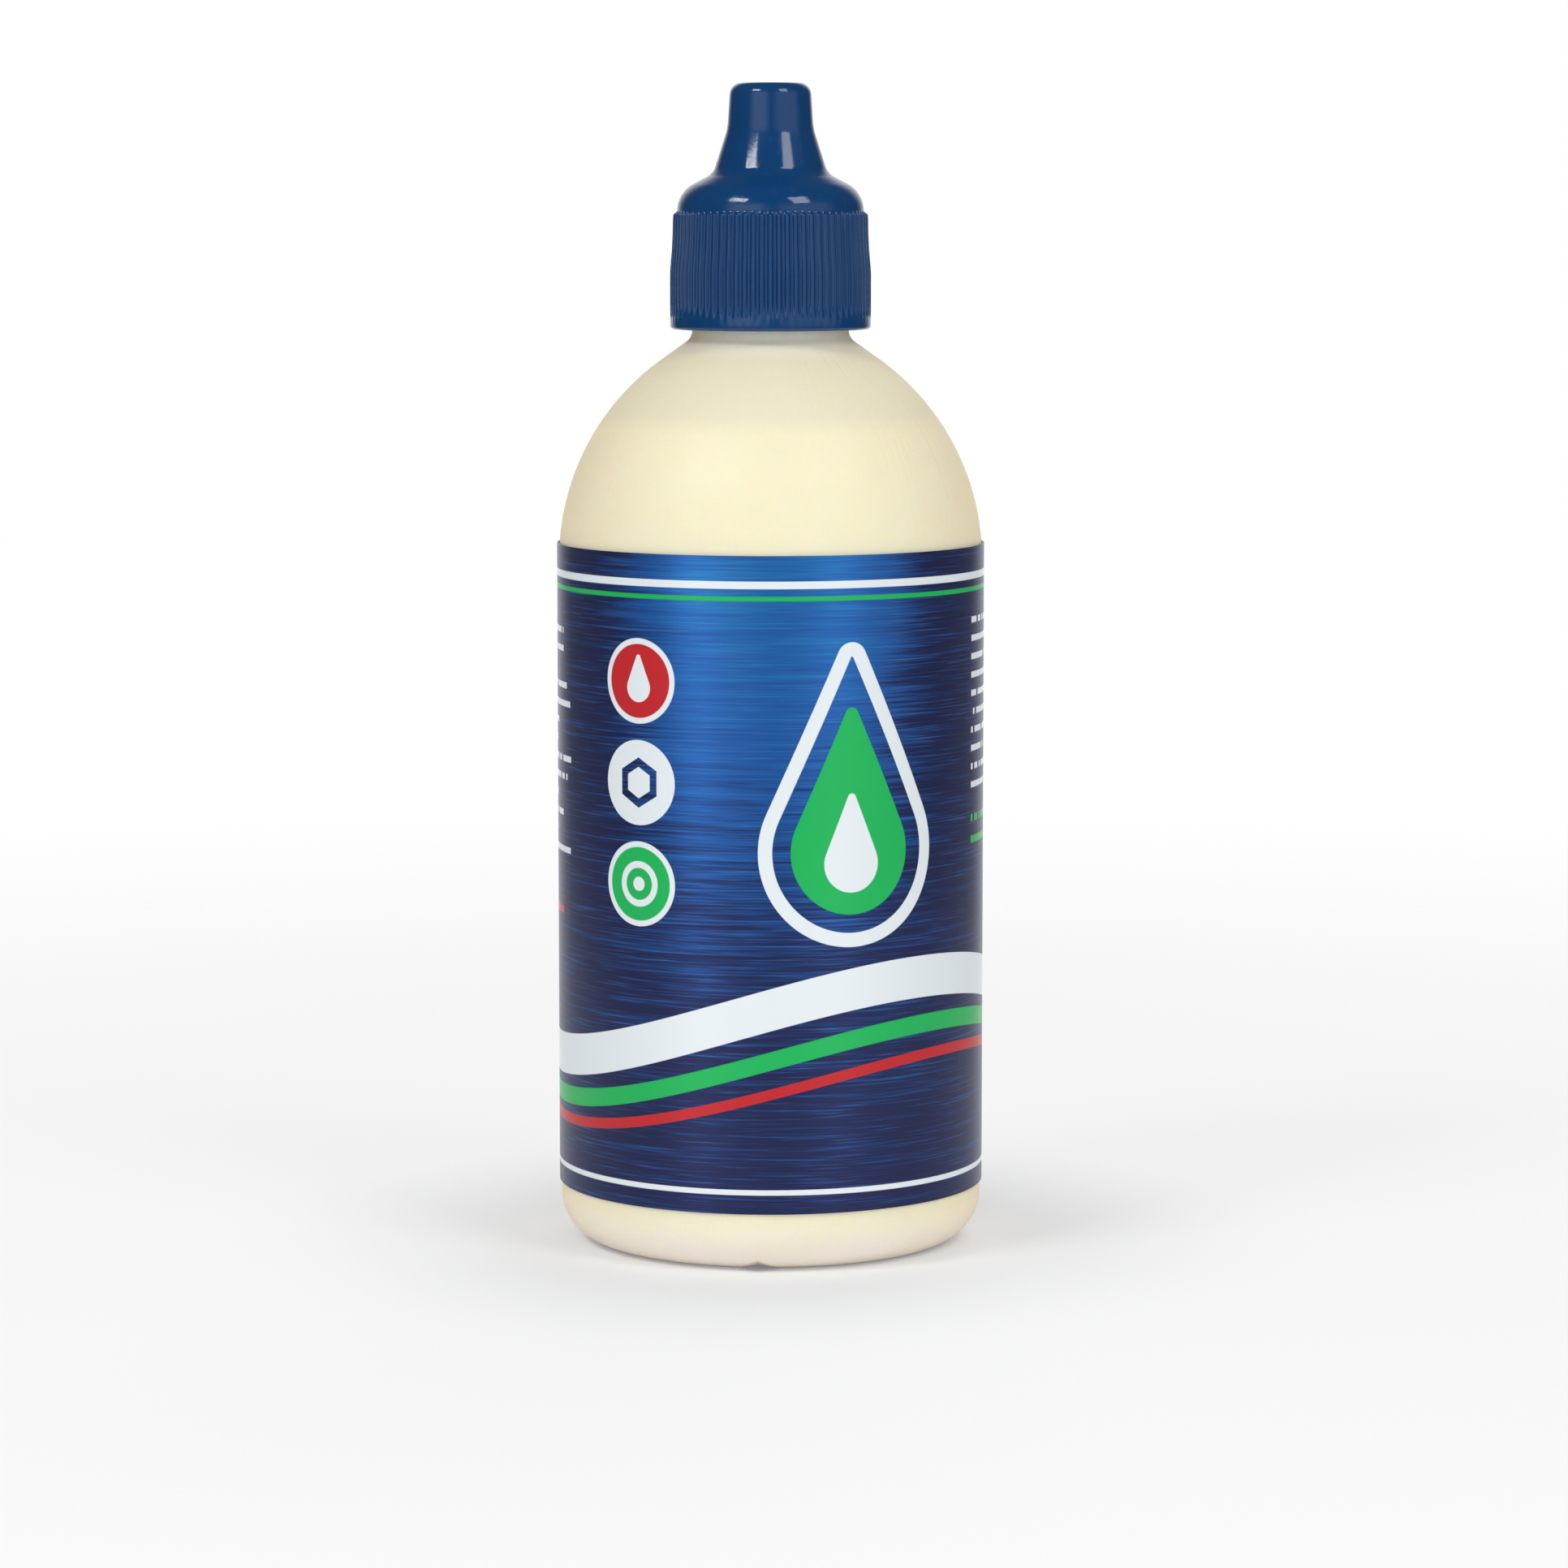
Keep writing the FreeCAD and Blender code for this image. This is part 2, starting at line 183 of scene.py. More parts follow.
mouldedLook = {
    "cloud": 260.0, "grain": 5200.0, "rub": 2600.0,    # pattern scales to the metre
    "rubStretch": (1.0, 1.0, 0.12), "rubRange": (0.54, 0.74),
    "cloudRough": 0.12, "rubRough": 0.2,               # what cloud and rub add to the roughness
    "cloudWorn": 0.12, "rubWorn": 0.25,                # and to the mask of wear
    "cloudRelief": 3.0,                                # beside a grain of 1
}
waveLook = {"second": 0.35}        # height of a second wave, half as long, beside the first
ruledLook = {
    "shortest": 0.6,               # share of its reach that even the shortest row has
    "cells": 3.0, "gap": 0.13,     # cells to the mm along a row, and the share of them left out
    "seed": 17.0,
    "half": 0.17,                  # half a dash's thickness, in pitches
}


def wrapGroup():  # millimetres round the turned form from the front, and up from a foot
    tree, given, out = startGroup("wrapPlaces", "Position Radius Foot", "Around Height")
    split = tree.nodes.new("ShaderNodeSeparateXYZ")
    feed(given["Position"], split.inputs[0])
    x, y, z = [Reading(s) for s in split.outputs]
    feed(x.math("ARCTAN2", y * -1.0) * given["Radius"], out["Around"])
    feed(z / mm - given["Foot"], out["Height"])
    return tree


def mouldedGroup(look):  # moulded plastic: slow waviness, fine grain and rubbed streaks
    tree, given, out = startGroup("mouldedSkin", "Position Gloss Scuff", "Roughness Relief Worn")
    position = given["Position"]
    cloud = noise(position, look["cloud"], detail=3.0)
    grain = noise(position, look["grain"])
    rubbed = noise(position, look["rub"], look["rubStretch"], 3.0).step(*look["rubRange"]) * given["Scuff"]
    feed((cloud - 0.5) * look["cloudRough"] + given["Gloss"] + rubbed * look["rubRough"], out["Roughness"])
    feed(cloud * look["cloudRelief"] + grain, out["Relief"])
    feed(cloud * look["cloudWorn"] + rubbed * look["rubWorn"], out["Worn"])
    return tree


def dropGroup():  # signed distance to a drop with its tip up; a tip at the radius makes a disc
    tree, given, out = startGroup("dropShape", "Around Height Middle Level Radius Tip Soft", "Distance")
    x = abs(given["Around"] - given["Middle"])
    y = given["Height"] - given["Level"]
    core = given["Radius"] - given["Soft"]
    lean = core / given["Tip"]                       # sine and cosine of half the tip's angle
    steep = (1.0 - lean * lean).math("SQRT")
    belly = length(x, y) - core
    flank = x * steep + y * lean - core
    point = length(x, y - given["Tip"])
    slide = y * steep - x * lean                     # run along the flank from where it leaves the belly
    edge = belly + slide.math("GREATER_THAN", 0.0) * (flank - belly)
    edge = edge + slide.math("GREATER_THAN", given["Tip"] * steep) * (point - edge)
    feed(edge - given["Soft"], out["Distance"])
    return tree


def barGroup():  # signed distance to a bar with round corners
    tree, given, out = startGroup("barShape", "Around Height Middle Level Reach Rise Soft", "Distance")
    x = abs(given["Around"] - given["Middle"]) - given["Reach"] + given["Soft"]
    y = abs(given["Height"] - given["Level"]) - given["Rise"] + given["Soft"]
    outside = length(x.orMore(0.0), y.orMore(0.0))
    feed(outside + x.orMore(y).orLess(0.0) - given["Soft"], out["Distance"])
    return tree


def hexGroup():  # signed distance to a hexagon standing on a corner
    tree, given, out = startGroup("hexShape", "Around Height Middle Level Radius", "Distance")
    x = abs(given["Around"] - given["Middle"])
    y = abs(given["Height"] - given["Level"])
    slant = x * math.cos(math.radians(60.0)) + y * math.sin(math.radians(60.0))
    feed(slant.orMore(x) - given["Radius"], out["Distance"])
    return tree


def waveGroup(look):  # signed distance to a band that rises and falls once round the bottle
    tree, given, out = startGroup("waveBand", "Around Height Level Swing Lead Half Girth", "Distance")
    turn = given["Around"] / given["Girth"]
    crest = (turn + given["Lead"]).math("SINE") + (turn * 2.0 + given["Lead"]).math("SINE") * look["second"]
    feed(abs(given["Height"] - given["Level"] - crest * given["Swing"]) - given["Half"], out["Distance"])
    return tree


def ruledGroup(look):  # below zero inside rows of short and long dashes with ragged ends
    tree, given, out = startGroup("ruledRows", "Around Height Left Reach Low Rows Pitch", "Distance")
    row = (given["Height"] - given["Low"]) / given["Pitch"]
    count = row.math("FLOOR")
    along = given["Around"] - given["Left"]
    share = chance(count + given["Left"]) * (1.0 - look["shortest"]) + look["shortest"]
    ends = (along * -1.0).orMore(along - given["Reach"] * share)
    cell = (along * look["cells"]).math("FLOOR")
    gaps = chance(cell * look["seed"] + count).math("LESS_THAN", look["gap"]) - 0.5
    across = (abs(row.math("FRACT") - 0.5) - look["half"]) * given["Pitch"]
    rows = (row * -1.0).orMore(row - given["Rows"])
    feed(across.orMore(ends).orMore(gaps).orMore(rows), out["Distance"])
    return tree


wrapPlaces = wrapGroup()
mouldedSkin = mouldedGroup(mouldedLook)
shapeGroups = {
    "drop": dropGroup(), "bar": barGroup(), "hex": hexGroup(),
    "wave": waveGroup(waveLook), "rows": ruledGroup(ruledLook),
}
print("node groups ready:", len(bpy.data.node_groups))

# Bottle: translucent cream blow moulding, with the liquid's level showing through the shoulder
# Heights and places are in mm, pattern scales to the metre

bottleLook = {
    "radius": 12.8,
    "full": (0.925, 0.868, 0.637, 1.0),               # wall with liquid behind it
    "empty": (0.80, 0.797, 0.62, 1.0),                # wall with air behind it
    "level": 49.9, "levelSoft": 0.7, "ripple": 0.5, "rippleScale": 90.0,
    "base": (0.90, 0.88, 0.87, 1.0),                  # heavier plastic, thinning out upwards
    "baseFade": (0.5, 3.8, 0.9, 0.0),
    # painted light: the neck under the cap is made paler, standing in for light that comes through the
    # plastic where the cap shades it
    "neck": (0.97, 0.95, 0.83, 1.0),
    "neckFade": (53.4, 54.8),
    "cloud": (0.78, 0.69, 0.45, 1.0),
    "cloudScale": 140.0, "cloudFade": (0.35, 0.7, 0.0, 0.12),
    "fleck": (0.42, 0.33, 0.20, 1.0),                 # a few specks in the plastic
    "fleckScale": 150.0, "fleckFade": (0.012, 0.03, 0.55, 0.0),
    "rareScale": 60.0, "rareFade": (0.6, 0.66),
    "paintedNotchShade": (0.17, 0.125, 0.13, 1.0),                 # painted shade in the parting notch
    "notch": -0.8, "notchShadeSlopes": (0.55, 1.2), "notchShadeFade": (0.5, 1.05, 0.9, 0.0),
    "gloss": 0.46, "scuff": 0.25, "relief": 0.012,
    "dieLines": (2.2, 0.05), "dieRelief": 2.0,        # faint lines up the wall, to the mm round and up
    "plain": {
        "Subsurface Weight": 0.5, "Subsurface Radius": (1.0, 0.72, 0.38), "Subsurface Scale": 1.4 * mm,
        "Sheen Weight": 0.45, "Sheen Roughness": 0.8,
        "Sheen Tint": (1.0, 0.68, 0.36, 1.0),         # warm light through the wall where it turns away
        "IOR": 1.45,
    },
}


def bottlePlastic(look):
    material, tree, shader, position = newMaterial("bottlePlastic", look["plain"])
    wrap = placed(tree, wrapPlaces, Position=position, Radius=look["radius"], Foot=0.0)
    around, height = wrap["Around"], wrap["Height"]
    skin = placed(tree, mouldedSkin, Position=position, Gloss=look["gloss"], Scuff=look["scuff"])
    ripple = (noise(position, look["rippleScale"]) - 0.5) * look["ripple"]
    filled = (height - look["level"] - ripple).step(-look["levelSoft"], look["levelSoft"], 1.0, 0.0)
    tone = blend(filled, look["empty"], look["full"])
    tone = blend(height.step(*look["baseFade"]), tone, look["base"])
    # painted light: paler neck just below the cap
    tone = blend(height.step(*look["neckFade"]), tone, look["neck"])
    cloud = noise(position, look["cloudScale"], detail=3.0).step(*look["cloudFade"])
    tone = blend(cloud, tone, look["cloud"])
    specks = tree.nodes.new("ShaderNodeTexVoronoi")
    specks.inputs["Scale"].default_value = look["fleckScale"]
    feed(position, specks.inputs["Vector"])
    rare = noise(position, look["rareScale"], detail=0.0).step(*look["rareFade"])
    fleck = Reading(specks.outputs["Distance"]).step(*look["fleckFade"]) * rare
    tone = blend(fleck, tone, look["fleck"])
    # painted shade: darker in the parting notch at the foot
    aside, up = look["notchShadeSlopes"]
    paintedNotchShade = (abs(around - look["notch"]) * aside + height * up).step(*look["notchShadeFade"])
    feed(blend(paintedNotchShade, tone, look["paintedNotchShade"]), shader["Base Color"])
    feed(skin["Roughness"], shader["Roughness"])
    dieLines = streaks(around, height, look["dieLines"])
    feed(bump(skin["Relief"] + dieLines * look["dieRelief"], look["relief"] * mm), shader["Normal"])
    return material


dress(nodes["bottle"], bottlePlastic(bottleLook))
print("bottle dressed")

# Lube and dropper nozzle, seen once the cap is off or through the drop hole

lubeLook = {
    "milk": (0.86, 0.78, 0.52, 1.0), "drift": (0.80, 0.70, 0.44, 1.0),
    "swirlScale": 220.0, "swirlFade": (0.4, 0.7),
    "gloss": 0.12, "swirlRough": 0.05,
    "plain": {"Subsurface Weight": 0.6, "Subsurface Scale": 2.0 * mm},
}
nozzleLook = {
    "colour": (0.80, 0.81, 0.78, 1.0), "worn": (0.60, 0.61, 0.57, 1.0),
    "gloss": 0.30, "scuff": 0.6, "relief": 0.006,     # mm
    "plain": {"Subsurface Weight": 0.5, "Subsurface Scale": 1.0 * mm},
}


def lubeLiquid(look):
    material, tree, shader, position = newMaterial("lubeLiquid", look["plain"])
    swirl = noise(position, look["swirlScale"], detail=4.0).step(*look["swirlFade"])
    feed(blend(swirl, look["milk"], look["drift"]), shader["Base Color"])
    feed(swirl * look["swirlRough"] + look["gloss"], shader["Roughness"])
    return material


def mouldedPlastic(name, look):  # a plain moulding, lighter or darker where it is rubbed
    material, tree, shader, position = newMaterial(name, look["plain"])
    skin = placed(tree, mouldedSkin, Position=position, Gloss=look["gloss"], Scuff=look["scuff"])
    feed(blend(skin["Worn"], look["colour"], look["worn"]), shader["Base Color"])
    feed(skin["Roughness"], shader["Roughness"])
    feed(bump(skin["Relief"], look["relief"] * mm), shader["Normal"])
    return material


dress(nodes["lube"], lubeLiquid(lubeLook))
dress(nodes["dropper_nozzle"], mouldedPlastic("nozzlePlastic", nozzleLook))
print("nozzle and lube dressed")

# Label: brushed blue film, printed with a drop, three round marks, flowing bands and ruled side panels
# Places are in mm: round from the front, and up from the label's lower edge

labelLook = {
    "radius": 12.9, "foot": 3.7,
    "deep": (0.015, 0.022, 0.100, 1.0),               # the film from its dark sides to a painted highlight in its middle
    "blue": (0.018, 0.130, 0.47, 1.0),
    "paintedHighlightBlue": (0.022, 0.255, 0.62, 1.0),
    "toBlue": (0.0, 0.6), "toPaintedHighlight": (0.5, 1.15),
    # painted highlight: lighter up the label and towards the front
    "paintedHighlightUp": (6.0, 40.0), "paintedHighlightRound": (3.5, 12.5, 0.72, 0.0),
    "fine": (0.17, 7.5), "broad": (0.07, 2.0),        # brush strokes to the mm, round and up
    "fineRough": 0.65, "fineShare": 0.6, "broadShare": 0.4,
    "strokeMean": 0.47, "strokeGain": 1.8,
    "paintedGlint": (0.10, 0.22, 0.55, 1.0),                 # brush strokes lightened with painted glints
    "paintedGlintFade": (0.54, 0.80), "paintedGlintUp": (0.0, 30.0, 0.25, 0.45),
    "white": (0.80, 0.86, 0.89, 1.0), "green": (0.006, 0.46, 0.10, 1.0), "red": (0.55, 0.014, 0.020, 1.0),
    "inkSoft": 0.03,
    "filmMetal": 0.55, "inkMetal": 0.05,
    "gloss": 0.4, "strokeRough": 0.2,
    "relief": 0.010, "strokeRelief": 0.35, "inkRelief": 0.4, "slackRelief": 2.0, "slackScale": 120.0,
    "plain": {
        "Anisotropic": 0.9, "Anisotropic Rotation": 0.25,    # highlights run across the strokes
        "Specular IOR Level": 0.35,
        "Coat Weight": 0.2, "Coat Roughness": 0.14,
    },
}
emblem = {"Middle": 4.9, "Level": 21.4}
backDrop = {"Middle": -33.5, "Level": 24.0}
redMark = {"Middle": -8.3, "Level": 31.3}
whiteMark = {"Middle": -8.3, "Level": 25.3}
greenMark = {"Middle": -8.3, "Level": 19.3}
labelPrint = [  # shape, ink, half the line's width or 0 for a filled shape, and the shape's own values
    ("wave", "white", 0, {"Level": 37.1, "Swing": 0.0, "Half": 0.22}),
    ("wave", "green", 0, {"Level": 36.3, "Swing": 0.0, "Half": 0.14}),
    ("wave", "white", 0, {"Level": 10.6, "Swing": 2.4, "Lead": 0.5, "Half": 1.25}),
    ("wave", "green", 0, {"Level": 8.1, "Swing": 2.2, "Lead": 0.35, "Half": 0.55}),
    ("wave", "red", 0, {"Level": 6.6, "Swing": 2.0, "Lead": 0.2, "Half": 0.32}),
    ("wave", "white", 0, {"Level": 1.3, "Swing": 0.0, "Half": 0.16}),
    ("drop", "white", 0.42, {**emblem, "Radius": 5.2, "Tip": 11.4, "Soft": 0.5}),
    ("drop", "green", 0, {**emblem, "Radius": 3.7, "Tip": 8.1, "Soft": 0.4}),
    ("drop", "white", 0, {**emblem, "Level": 20.7, "Radius": 1.7, "Tip": 3.9, "Soft": 0.25}),
]
for spot, ink in ((redMark, "red"), (whiteMark, "white"), (greenMark, "green")):
    labelPrint.append(("drop", ink, 0, {**spot, "Radius": 2.2, "Tip": 2.2}))
    labelPrint.append(("drop", "white", 0.17, {**spot, "Radius": 2.35, "Tip": 2.35}))
labelPrint += [
    ("drop", "white", 0, {**redMark, "Level": 30.9, "Radius": 0.85, "Tip": 1.8, "Soft": 0.15}),
    ("hex", "film", 0.24, {**whiteMark, "Radius": 1.05}),
    ("drop", "white", 0.2, {**greenMark, "Radius": 1.15, "Tip": 1.15}),
    ("drop", "white", 0, {**greenMark, "Radius": 0.42, "Tip": 0.42}),
    ("rows", "white", 0, {"Left": -26.5, "Reach": 11.5, "Low": 20.0, "Rows": 13.0, "Pitch": 1.1}),
    ("rows", "red", 0, {"Left": -26.5, "Reach": 10.0, "Low": 16.2, "Rows": 2.0, "Pitch": 1.3}),
    ("rows", "white", 0, {"Left": 15.4, "Reach": 11.5, "Low": 24.0, "Rows": 10.0, "Pitch": 1.1}),
    ("rows", "green", 0, {"Left": 15.4, "Reach": 9.0, "Low": 20.6, "Rows": 2.0, "Pitch": 1.3}),
    ("bar", "white", 0, {"Middle": 34.0, "Level": 26.5, "Reach": 4.6, "Rise": 7.0, "Soft": 0.8}),
    ("rows", "film", 0, {"Left": 30.4, "Reach": 7.4, "Low": 20.6, "Rows": 11.0, "Pitch": 1.1}),
    ("drop", "white", 0.3, {**backDrop, "Radius": 3.2, "Tip": 7.0, "Soft": 0.3}),
    ("drop", "green", 0, {**backDrop, "Radius": 2.1, "Tip": 4.6, "Soft": 0.25}),
]


def labelFilm(look, prints):
    material, tree, shader, position = newMaterial("labelFilm", look["plain"])
    wrap = placed(tree, wrapPlaces, Position=position, Radius=look["radius"], Foot=look["foot"])
    around, height = wrap["Around"], wrap["Height"]

    # brushed ground: long strokes round the bottle, with a painted highlight at the top of the front
    fine = streaks(around, height, look["fine"], look["fineRough"])
    strokes = fine * look["fineShare"] + streaks(around, height, look["broad"]) * look["broadShare"]
    # painted highlight, lighter up the label and towards the front, added to the real brush strokes
    glow = height.step(*look["paintedHighlightUp"]) * abs(around).step(*look["paintedHighlightRound"])
    paintedHighlightAndStrokes = glow + (strokes - look["strokeMean"]) * look["strokeGain"]
    film = blend(paintedHighlightAndStrokes.step(*look["toBlue"]), look["deep"], look["blue"])
    film = blend(paintedHighlightAndStrokes.step(*look["toPaintedHighlight"]), film, look["paintedHighlightBlue"])
    # the fine brush strokes get painted glints, stronger towards the top
    film = blend(fine.step(*look["paintedGlintFade"]) * height.step(*look["paintedGlintUp"]), film, look["paintedGlint"])

    # print: each shape over the ones before it, and film where one is left bare
    colour = film
    inked = height * 0.0    # nothing printed yet
    for shape, ink, line, values in prints:
        if shape == "wave":
            values = {**values, "Girth": look["radius"]}
        edge = placed(tree, shapeGroups[shape], Around=around, Height=height, **values)["Distance"]
        if line:
            edge = abs(edge) - line
        mask = edge.step(-look["inkSoft"], look["inkSoft"], 1.0, 0.0)
        colour = blend(mask, colour, film if ink == "film" else look[ink])
        inked = inked * (1.0 - mask) if ink == "film" else inked.orMore(mask)
    feed(colour, shader["Base Color"])
    feed(inked * (look["inkMetal"] - look["filmMetal"]) + look["filmMetal"], shader["Metallic"])
    feed(strokes * look["strokeRough"] + look["gloss"], shader["Roughness"])
    slack = noise(position, look["slackScale"], detail=1.0)
    relief = strokes * look["strokeRelief"] + inked * look["inkRelief"] + slack * look["slackRelief"]
    feed(bump(relief, look["relief"] * mm), shader["Normal"])
    tangent = tree.nodes.new("ShaderNodeTangent")
    tangent.direction_type = "RADIAL"
    tangent.axis = "Z"
    feed(Reading(tangent.outputs["Tangent"]), shader["Tangent"])
    return material


dress(nodes["label"], labelFilm(labelLook, labelPrint))
print("label printed:", len(labelPrint), "shapes")

# Screw cap: one moulding turned from its outline, then ribbed round the skirt; all in mm

capForm = {
    "ribs": 72, "columns": 8,                 # columns of faces across one rib
    "crest": 0.2, "flank": 0.6,               # shares of half a rib: its flat crest, then its slope
    "rootLow": 5.83, "rootTop": 5.63,         # radius between the ribs
    "ribFoot": 56.0, "ribFull": 56.8, "ribBend": 58.6, "ribTop": 62.32,
    "cornerSteps": 6, "weld": 1e-4,
    "outline": [                              # radius, height, rounding; the ribs run out in rows near 56
        (0.0, 69.90, 0), (0.62, 69.90, 0.05), (0.78, 69.99, 0.1), (2.41, 69.99, 0.72), (2.58, 67.3, 3.0),
        (3.44, 64.60, 1.0), (5.58, 63.50, 1.7), (5.61, 62.40, 0), (5.65, 62.30, 0), (5.84, 62.16, 0.12),
        (5.865, 61.85, 0), (5.88, 61.0, 0), (5.93, 60.0, 0), (6.02, 59.0, 0), (6.04, 58.6, 0),
        (6.04, 57.4, 0), (6.04, 56.8, 0), (6.04, 56.5, 0), (6.04, 56.2, 0), (6.04, 56.0, 0),
        (6.04, 55.30, 0.22), (5.12, 55.30, 0.12), (5.12, 62.55, 0.3), (2.9, 62.55, 0.1),
        (1.6, 65.55, 0.3), (1.6, 68.70, 0.15), (0.44, 68.70, 0.08), (0.44, 67.40, 0.2), (0.0, 67.40, 0),
    ],
    "thread": {
        "wall": 5.17, "root": 5.12, "crest": 4.87,    # radii: in the wall, on its face, at the crest
        "low": 56.65, "base": 0.9, "top": 0.4, "pitch": 2.0, "rise": 3.5, "stepsPerTurn": 96,
    },
}
capLook = {
    "colour": (0.0028, 0.0425, 0.148, 1.0), "worn": (0.014, 0.076, 0.182, 1.0),
    "gloss": 0.11, "scuff": 0.6, "relief": 0.0025,
    "plain": {"IOR": 1.5},
}
turning = {"cent": (0, 0, 0), "axis": (0, 0, 1), "use_merge": False}    # the same for every spin


def roundedWire(mesh, outline, steps):  # a wire in the XZ plane with its corners rounded
    verts = [mesh.verts.new((r, 0.0, z)) for r, z, _ in outline]
    for a, b in zip(verts, verts[1:]):
        mesh.edges.new((a, b))
    places = [v.co.copy() for v in verts]
    for i, (_, _, rounding) in enumerate(outline):
        if not rounding:
            continue
        half = (places[i - 1] - places[i]).angle(places[i + 1] - places[i]) / 2
        bmesh.ops.bevel(mesh, geom=[verts[i]], offset=rounding / math.tan(half), offset_type="OFFSET",
                        segments=steps, profile=0.5, affect="VERTICES", clamp_overlap=False, material=-1)


def turnedCap(form):  # one rib's slice is turned and shaped, then repeated all round
    mesh = bmesh.new()
    roundedWire(mesh, form["outline"], form["cornerSteps"])
    pitch = 2 * math.pi / form["ribs"]
    bmesh.ops.spin(mesh, geom=mesh.verts[:] + mesh.edges[:], angle=pitch, steps=form["columns"],
                   use_duplicate=False, **turning)
    for v in mesh.verts:
        radius = v.co.xy.length
        if radius < form["rootTop"] or not form["ribFoot"] <= v.co.z <= form["ribTop"]:
            continue
        rise = min(1.0, max(0.0, (v.co.z - form["ribBend"]) / (form["ribTop"] - form["ribBend"])))
        root = form["rootLow"] + (form["rootTop"] - form["rootLow"]) * rise
        start = min(1.0, (v.co.z - form["ribFoot"]) / (form["ribFull"] - form["ribFoot"]))
        across = math.atan2(v.co.y, v.co.x) / pitch
        away = abs(across - round(across)) * 2               # 0 on a crest, 1 between two ribs
        dip = min(1.0, max(0.0, (away - form["crest"]) / form["flank"]))
        dip = dip * dip * (3 - 2 * dip) * start
        v.co.xy *= 1 - dip * max(0.0, radius - root) / radius
    bmesh.ops.spin(mesh, geom=mesh.verts[:] + mesh.edges[:] + mesh.faces[:], angle=2 * math.pi - pitch,
                   steps=form["ribs"] - 1, use_duplicate=True, **turning)
    bmesh.ops.remove_doubles(mesh, verts=mesh.verts, dist=form["weld"])
    return mesh


def addThread(cap, thread):  # the screw inside the skirt
    mesh = bmesh.new()
    flank = (thread["base"] - thread["top"]) / 2
    section = [
        (thread["wall"], 0.0), (thread["root"], 0.0), (thread["crest"], flank),
        (thread["crest"], flank + thread["top"]), (thread["root"], thread["base"]),
        (thread["wall"], thread["base"]),
    ]
    verts = [mesh.verts.new((r, 0.0, thread["low"] + z)) for r, z in section]
    edges = [mesh.edges.new((a, b)) for a, b in zip(verts, verts[1:] + verts[:1])]
    turns = thread["rise"] / thread["pitch"]
    steps = int(turns * thread["stepsPerTurn"])
    bmesh.ops.contextual_create(mesh, geom=edges)
    spun = bmesh.ops.spin(mesh, geom=verts + edges, angle=2 * math.pi * turns, steps=steps,
                          dvec=(0, 0, thread["rise"] / steps), use_duplicate=False, **turning)
    lastEdges = [e for e in spun["geom_last"] if isinstance(e, bmesh.types.BMEdge)]
    bmesh.ops.contextual_create(mesh, geom=lastEdges)
    data = bpy.data.meshes.new("capThread")
    mesh.to_mesh(data)
    mesh.free()
    cap.from_mesh(data)
    bpy.data.meshes.remove(data)


def finishPiece(name, mesh, body, material, replaced):  # from a bmesh in mm to a piece on its body
    bmesh.ops.recalc_face_normals(mesh, faces=mesh.faces)
    bmesh.ops.scale(mesh, vec=(mm, mm, mm), verts=mesh.verts)
    data = bpy.data.meshes.new(name)
    mesh.to_mesh(data)
    mesh.free()
    data.shade_smooth()
    data.materials.append(material)
    piece = bpy.data.objects.new(name, data)
    bpy.context.scene.collection.objects.link(piece)
    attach(piece, body)
    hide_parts(replaced)
    return piece


capMesh = turnedCap(capForm)
addThread(capMesh, capForm["thread"])
capPlastic = mouldedPlastic("capPlastic", capLook)
cap = finishPiece("screwCap", capMesh, "cap_body", capPlastic, "screw_cap")
print("cap turned:", len(cap.data.polygons), "faces")

# Stage: pale floor that keeps the shadow and runs out into a white room; lengths in metres

stageLook = {
    "floor": 0.30, "rim": 96, "fade": (0.06, 0.24),
    "lift": 0.65,                                      # how much of its own white the paper shows
    "shade": 0.15, "shadeReach": (0.008, 0.035),       # the same close to the bottle, and how far that goes
    "paper": {"Base Color": (0.90, 0.90, 0.90, 1.0), "Roughness": 0.9, "Specular IOR Level": 0.0},
    "white": (1.0, 1.0, 1.0, 1.0),
    "ambient": 0.46,                                   # the room's fill
    "front": 0.06, "frontEnds": (135.0, 165.0),        # what gloss sees in front, and degrees round
    "frontTop": (0.30, 0.65), "panelFoot": (-0.20, -0.02),    # sines of the angle up
    "panels": [                                        # turn, core and reach in degrees, glow
        (-31.0, 10.0, 34.0, 0.92),
        (47.0, 20.0, 46.0, 0.56),
    ],
}


def seenDirectly(tree):  # 1 for the camera and for what shows in gloss and clear plastic
    path = tree.nodes.new("ShaderNodeLightPath").outputs
    camera, gloss = Reading(path["Is Camera Ray"]), Reading(path["Is Glossy Ray"])
    return camera.orMore(gloss).orMore(Reading(path["Is Transmission Ray"]))


def floorPaper(look):  # paper, lifted towards white, that fades out at its rim
    material, tree, _, position = newMaterial("floorPaper", look["paper"])
    spread = tree.nodes.new("ShaderNodeVectorMath")
    spread.operation = "LENGTH"
    feed(position, spread.inputs[0])
    far = Reading(spread.outputs["Value"])
    lift = far.step(*look["shadeReach"], look["shade"], look["lift"])
    lifted = tree.nodes.new("ShaderNodeMixShader")
    feed(seenDirectly(tree) * lift, lifted.inputs[0])
    tree.links.new(tree.nodes["Principled BSDF"].outputs[0], lifted.inputs[1])
    tree.links.new(tree.nodes.new("ShaderNodeEmission").outputs[0], lifted.inputs[2])
    fading = tree.nodes.new("ShaderNodeMixShader")
    feed(far.step(*look["fade"]), fading.inputs[0])
    tree.links.new(lifted.outputs[0], fading.inputs[1])
    tree.links.new(tree.nodes.new("ShaderNodeBsdfTransparent").outputs[0], fading.inputs[2])
    tree.links.new(fading.outputs[0], tree.nodes["Material Output"].inputs["Surface"])
    return material


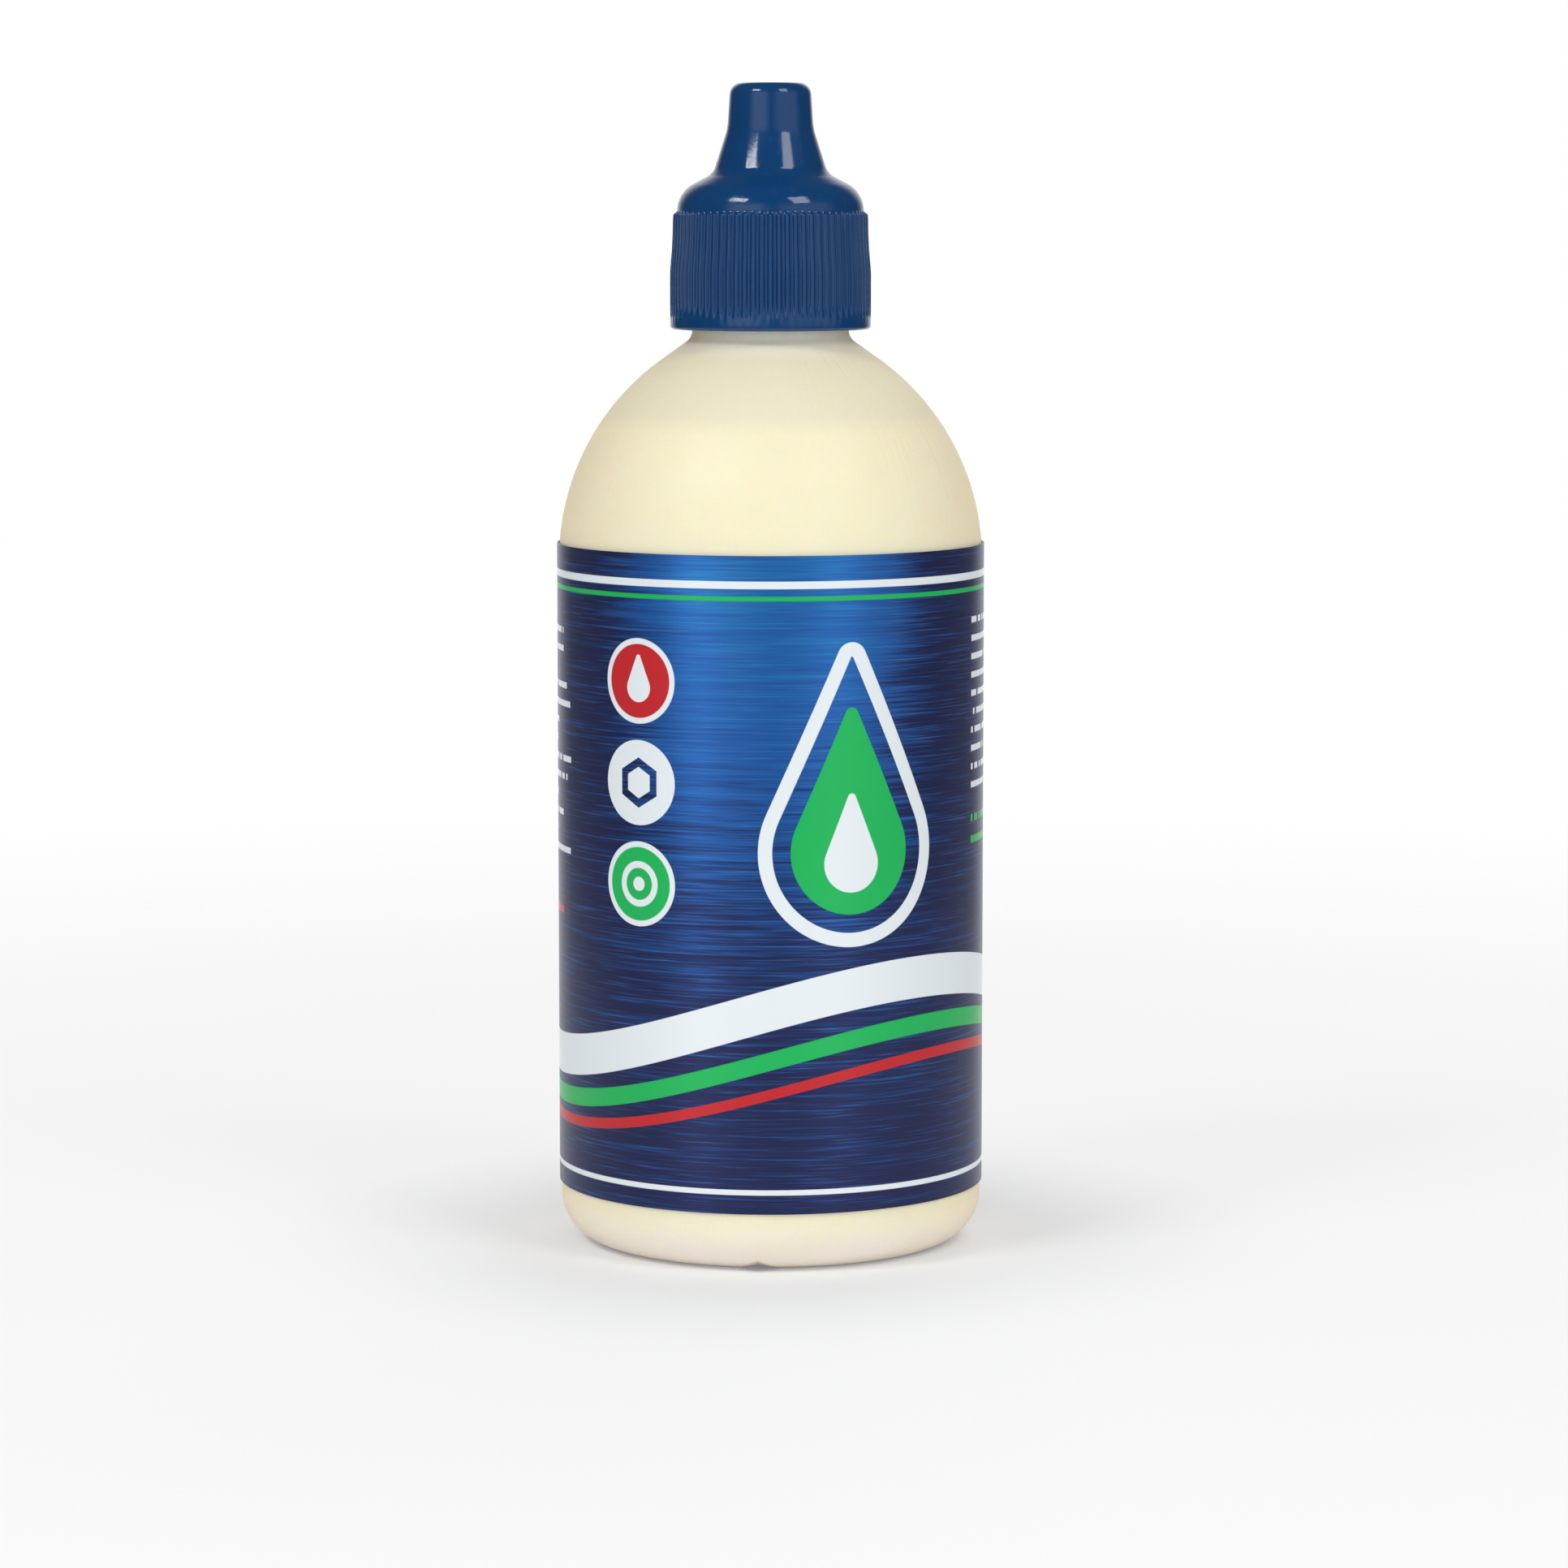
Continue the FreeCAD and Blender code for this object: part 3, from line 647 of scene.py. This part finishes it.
def buildFloor(look):
    mesh = bmesh.new()
    bmesh.ops.create_circle(mesh, cap_ends=True, segments=look["rim"], radius=look["floor"])
    data = bpy.data.meshes.new("floor")
    mesh.to_mesh(data)
    mesh.free()
    data.materials.append(floorPaper(look))
    floor = bpy.data.objects.new("floor", data)
    bpy.context.scene.collection.objects.link(floor)


def buildRoom(look):  # white backdrop; gloss sees a dim front with a soft panel on each side
    world = bpy.data.worlds.new("whiteRoom")
    bpy.context.scene.world = world
    world.use_nodes = True
    tree = world.node_tree
    glow = tree.nodes["Background"].inputs
    split = tree.nodes.new("ShaderNodeSeparateXYZ")
    tree.links.new(tree.nodes.new("ShaderNodeTexCoord").outputs["Generated"], split.inputs[0])
    x, y, z = [Reading(s) for s in split.outputs]
    turn = x.math("ARCTAN2", y * -1.0).math("DEGREES")
    low = z.step(*look["frontTop"], 1.0, 0.0)
    dark = 1.0 - look["front"]
    dim = dark - abs(turn).step(*look["frontEnds"], 0.0, dark) * low
    level = z.step(*look["panelFoot"]) * low
    for middle, core, reach, shine in look["panels"]:
        dim = dim - abs(turn - middle).step(core, reach, shine, 0.0) * level
    gloss = Reading(tree.nodes.new("ShaderNodeLightPath").outputs["Is Glossy Ray"])
    glow["Color"].default_value = look["white"]
    feed(seenDirectly(tree) * (1.0 - look["ambient"]) + look["ambient"] - dim * gloss, glow["Strength"])


buildFloor(stageLook)
buildRoom(stageLook)

lightPlan = [  # name, turn from the camera, lift, distance, width, height, watts, shows in gloss
    ("leftBox", -47.0, 42.0, 0.50, 0.165, 0.10, 0.66, True),
    ("rightBox", 43.0, 42.0, 0.50, 0.17, 0.195, 0.54, True),
    ("frontFill", 4.0, 8.0, 0.70, 0.40, 0.30, 1.26, False),
    ("backFill", 165.0, 40.0, 0.70, 0.40, 0.40, 0.80, False),
]
lightAim = Vector((0.0, 0.0, 0.045))
for name, turn, lift, distance, width, height, watts, inGloss in lightPlan:
    light = bpy.data.lights.new(name, "AREA")
    light.shape = "RECTANGLE"
    light.size = width
    light.size_y = height
    light.energy = watts
    lamp = bpy.data.objects.new(name, light)
    turn, lift = math.radians(turn), math.radians(lift)
    away = Vector((math.sin(turn) * math.cos(lift), -math.cos(turn) * math.cos(lift), math.sin(lift)))
    lamp.location = lightAim + away * distance
    lamp.rotation_euler = away.to_track_quat("Z", "Y").to_euler()
    lamp.visible_camera = False
    lamp.visible_glossy = inGloss
    bpy.context.scene.collection.objects.link(lamp)

cameraPlan = {
    "place": (0.00081, -0.3201, 0.06374), "dip": 6.414,    # metres, and degrees down
    "lens": 121.76, "sensor": 36.0, "near": 0.01,
}
cameraData = bpy.data.cameras.new("camera")
cameraData.lens = cameraPlan["lens"]
cameraData.sensor_width = cameraPlan["sensor"]
cameraData.clip_start = cameraPlan["near"]
camera = bpy.data.objects.new("camera", cameraData)
camera.location = cameraPlan["place"]
camera.rotation_euler = (math.radians(90.0 - cameraPlan["dip"]), 0.0, 0.0)
bpy.context.scene.collection.objects.link(camera)
bpy.context.scene.camera = camera
bpy.context.scene.view_settings.view_transform = "Standard"
print("stage, lights and camera set")
